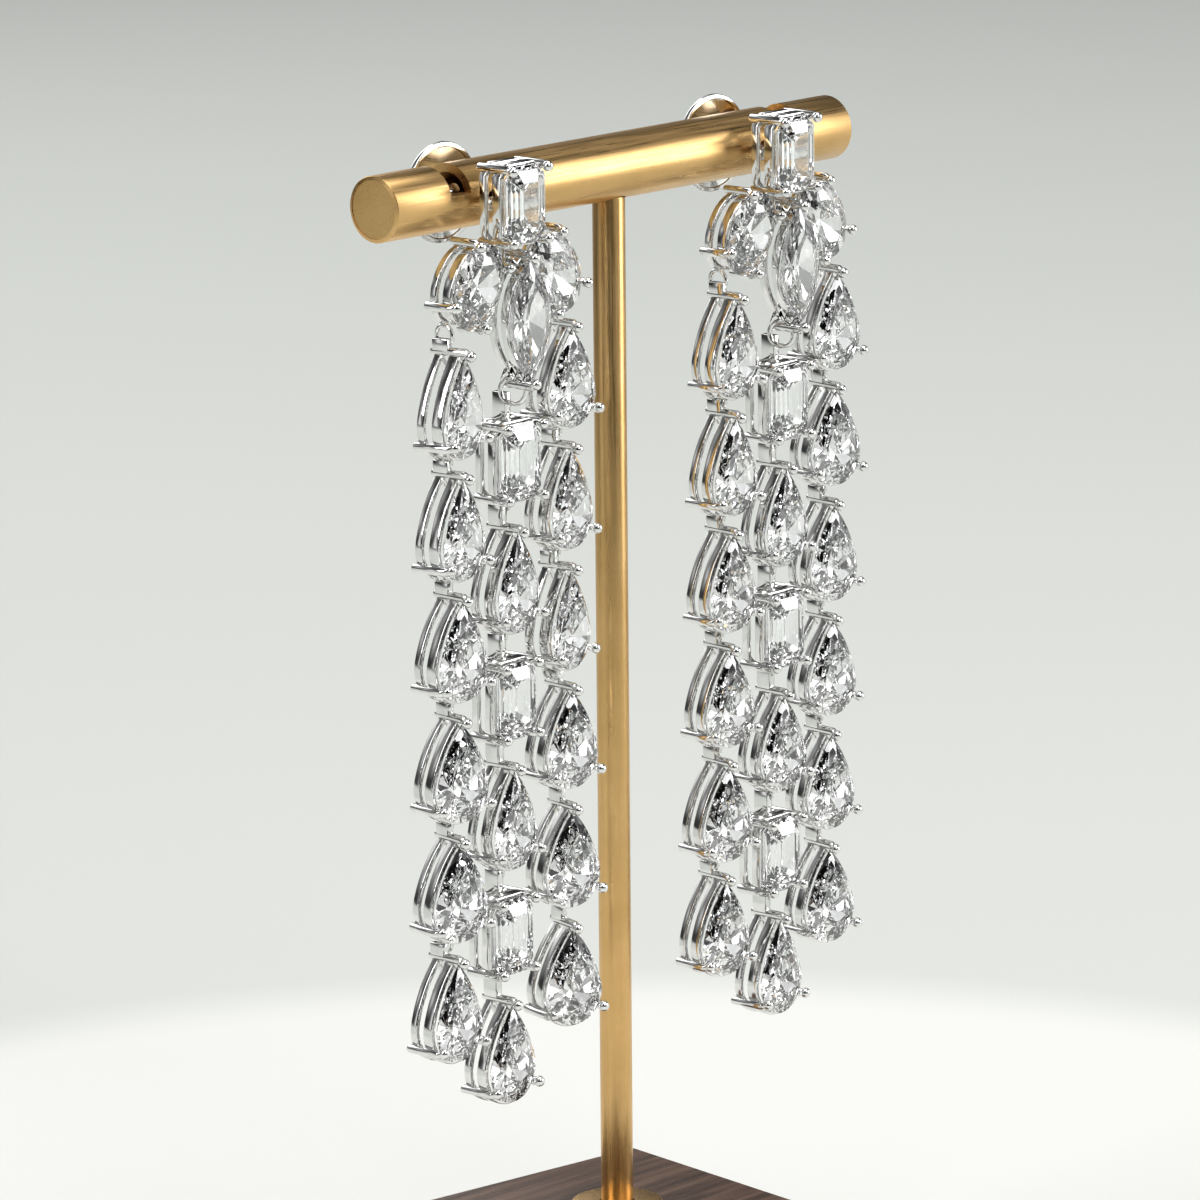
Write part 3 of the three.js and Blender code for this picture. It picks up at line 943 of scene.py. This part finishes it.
# %% [markdown]
# ## Satin gold and walnut
# The stand's gold was rubbed with a fine abrasive along its length, which leaves close parallel
# lines that spread a highlight. The lines are noise stretched far along the rod. Walnut's grain is
# noise stretched along the board, with darker bands and small open pores.
# %% Satin gold and walnut
def satin_gold_finish(name, stretch):
    made, tree, shader = new_finish(name, metallic=1.0, roughness=0.3)
    lines, _ = pattern(tree, "ShaderNodeTexNoise", stretch, scale=1.0, detail=4.0)
    cloud, _ = pattern(tree, "ShaderNodeTexNoise", (1, 1, 1), scale=160.0, detail=3.0)
    tree.links.new(
        ramp(tree, cloud, [(0.3, (0.58, 0.36, 0.135)), (0.7, (0.7, 0.45, 0.19))]),
        shader.inputs["Base Color"],
    )
    tree.links.new(ramp(tree, lines, [(0.3, grey(0.24)), (0.7, grey(0.4))]), shader.inputs["Roughness"])
    bumped(tree, shader, lines, 0.25, 0.00002)
    return made


def walnut_finish():
    made, tree, shader = new_finish("walnut", roughness=0.5)
    grain, along = pattern(tree, "ShaderNodeTexNoise", (60, 900, 900), scale=1.0, detail=8.0, distortion=0.4)
    along.inputs["Rotation"].default_value = (0, 0, -BASE["turn"])
    pores, along = pattern(tree, "ShaderNodeTexNoise", (350, 6000, 6000), scale=1.0, detail=3.0)
    along.inputs["Rotation"].default_value = (0, 0, -BASE["turn"])
    tree.links.new(
        ramp(tree, grain, [
            (0.3, (0.035, 0.02, 0.014)),
            (0.5, (0.09, 0.052, 0.034)),
            (0.7, (0.15, 0.09, 0.06)),
        ]),
        shader.inputs["Base Color"],
    )
    tree.links.new(ramp(tree, pores, [(0.3, grey(0.7)), (0.5, grey(0.42))]), shader.inputs["Roughness"])
    bumped(tree, shader, pores, 0.35, 0.00004)
    return made


bar_gold = satin_gold_finish("satin_gold_bar", (120, 5000, 5000))
post_gold = satin_gold_finish("satin_gold_post", (5000, 5000, 120))
walnut = walnut_finish()

# %% [markdown]
# ## Fixing pieces to the frame
# Every piece rides on the one body and takes the place of the node it was made after, whose part
# is hidden. Nothing here moves, so one loop does it all.
# %% Give each piece its finish and its node
rows = [(piece, node, diamond, "diamond") for piece, node in stone_pieces]
rows += [(piece, node, white_gold, "white_gold") for piece, node in cluster_pieces]
rows += [(piece, node, white_gold, "white_gold") for piece, node in strand_pieces]
rows += [(piece, node, white_gold, "white_gold") for piece, node in nut_pieces]
rows.append((bar_piece, "t_bar", bar_gold, "satin_gold"))
rows.append((post_piece, "post", post_gold, "satin_gold"))
rows.append((flange_piece, "post_flange", post_gold, "satin_gold"))
rows.append((base_piece, "base_block", walnut, "walnut"))
for piece, node, material, slot in rows:
    piece.data.materials.clear()
    piece.data.materials.append(material)
    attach(piece, "root")
    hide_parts(node)
print("pieces fixed:", len(rows))

# %% [markdown]
# ## Floor, light and camera
# Small bright things show what stands round them, so the studio matters as much as the metal. A
# pale floor runs far back. Beyond the base it is painted darker, standing in for the wall behind,
# and further back it is painted slowly darker still: painted shade, as the world's light on it is
# even. Large soft lights stand above and to the sides, with darker gaps between them that give
# the facets and rails their contrast.
# %% Floor
CAMERA_TURN = math.radians(47.41)


def floor():
    start(bpy.ops.mesh.primitive_circle_add, vertices=64, radius=4, fill_type="NGON")
    bpy.ops.mesh.select_all(action="SELECT")
    bpy.ops.mesh.inset(thickness=3.6)
    ground = finish("floor", smooth=0)
    made, tree, shader = new_finish("floor_backdrop_and_painted_shade", roughness=1.0, specular_ior_level=0.0)
    place = tree.nodes.new("ShaderNodeTexCoord")
    far = tree.nodes.new("ShaderNodeVectorMath")
    far.operation = "LENGTH"
    tree.links.new(place.outputs["Object"], far.inputs[0])
    # Floor colour by distance from the middle: light round the base, a step darker past 0.12 m standing in for
    # the wall, then painted shade that grows slowly darker further back.
    backdrop_tone_and_painted_shade = ramp(tree, far.outputs["Value"], [
        (0.115, (0.76, 0.765, 0.735)),
        (0.128, (0.63, 0.645, 0.615)),
        (0.6, (0.6, 0.62, 0.59)),
    ])
    tree.links.new(backdrop_tone_and_painted_shade, shader.inputs["Base Color"])
    ground.data.materials.append(made)


floor()


# %% Lights
def softbox(name, direction, away, size, level, aim=(0, 0, 0.07)):
    """An area light seen as a panel of that brightness, facing the earrings."""
    lamp = bpy.data.lights.new(name, "AREA")
    lamp.shape, lamp.size, lamp.size_y = "RECTANGLE", *size
    lamp.energy = level * math.pi * size[0] * size[1]
    panel = bpy.data.objects.new(name, lamp)
    way = Vector(direction).normalized()
    panel.location = Vector(aim) + way * away
    panel.rotation_euler = way.to_track_quat("Z", "Y").to_euler()
    bpy.context.scene.collection.objects.link(panel)


softbox("light_top", (0.1, -0.1, 1), 1.6, (1.7, 1.2), 3.0)
softbox("light_left", (-1, 0.15, 0.75), 0.8, (0.25, 0.5), 6.0)
softbox("light_right", (0.8, -0.75, 0.35), 0.8, (0.3, 0.6), 4.5)
softbox("light_front", (-0.25, -1, 0.75), 0.9, (0.35, 0.25), 5.0)
softbox("light_back", (0.3, 1, 0.6), 0.9, (0.6, 0.4), 2.0)

world = bpy.data.worlds.new("studio")
bpy.context.scene.world = world
world.use_nodes = True
tree = world.node_tree
sky = tree.nodes["Background"]
view = tree.nodes.new("ShaderNodeTexCoord")
shade = tree.nodes.new("ShaderNodeMixRGB")
shade.blend_type = "MULTIPLY"
shade.inputs["Fac"].default_value = 1.0
cloth = tree.nodes.new("ShaderNodeTexNoise")
cloth.inputs["Scale"].default_value = 1.7
cloth.inputs["Detail"].default_value = 1.0
tree.links.new(view.outputs["Generated"], cloth.inputs["Vector"])
tree.links.new(
    ramp(tree, cloth.outputs["Fac"], [(0.42, grey(0.05)), (0.54, grey(0.26)), (0.64, grey(0.95))]),
    shade.inputs["Color1"],
)
toward = tree.nodes.new("ShaderNodeVectorMath")
toward.operation = "DOT_PRODUCT"
toward.inputs[1].default_value = (-math.sin(CAMERA_TURN), -math.cos(CAMERA_TURN), 0.2)
tree.links.new(view.outputs["Generated"], toward.inputs[0])
dark_side = ramp(tree, toward.outputs["Value"], [(0.6, grey(1.0)), (0.92, grey(0.3))])
tree.links.new(dark_side, shade.inputs["Color2"])
tree.links.new(shade.outputs["Color"], sky.inputs["Color"])
sky.inputs["Strength"].default_value = 0.95

# %% [markdown]
# ## The camera
# A long lens stands in front and to the left, a little above the earrings, and looks slightly
# down along the bar.
# %% Camera
TILT, ROLL = math.radians(12.55), math.radians(-0.52)
DISTANCE, FOCAL = 0.671, 219.0
AIM_SIDE, AIM_HEIGHT = -0.00111, 0.07046

right = Vector((math.cos(CAMERA_TURN), -math.sin(CAMERA_TURN), 0))
ahead = Vector((math.sin(CAMERA_TURN) * math.cos(TILT), math.cos(CAMERA_TURN) * math.cos(TILT), -math.sin(TILT)))
up = right.cross(ahead)
rolled_right = right * math.cos(ROLL) + up * math.sin(ROLL)
rolled_up = up * math.cos(ROLL) - right * math.sin(ROLL)
aim = right * AIM_SIDE + Vector((0, 0, AIM_HEIGHT))
lens = bpy.data.cameras.new("camera")
lens.lens, lens.sensor_width = FOCAL, 36.0
lens.clip_start, lens.clip_end = 0.01, 20
camera = bpy.data.objects.new("camera", lens)
camera.matrix_world = Matrix.Translation(aim - ahead * DISTANCE) @ Matrix(
    (rolled_right, rolled_up, -ahead)
).transposed().to_4x4()
bpy.context.scene.collection.objects.link(camera)
bpy.context.scene.camera = camera

scene = bpy.context.scene
scene.view_settings.view_transform = "Standard"
scene.view_settings.look = "None"
scene.cycles.max_bounces = 20
scene.cycles.transmission_bounces = 16
scene.cycles.glossy_bounces = 8
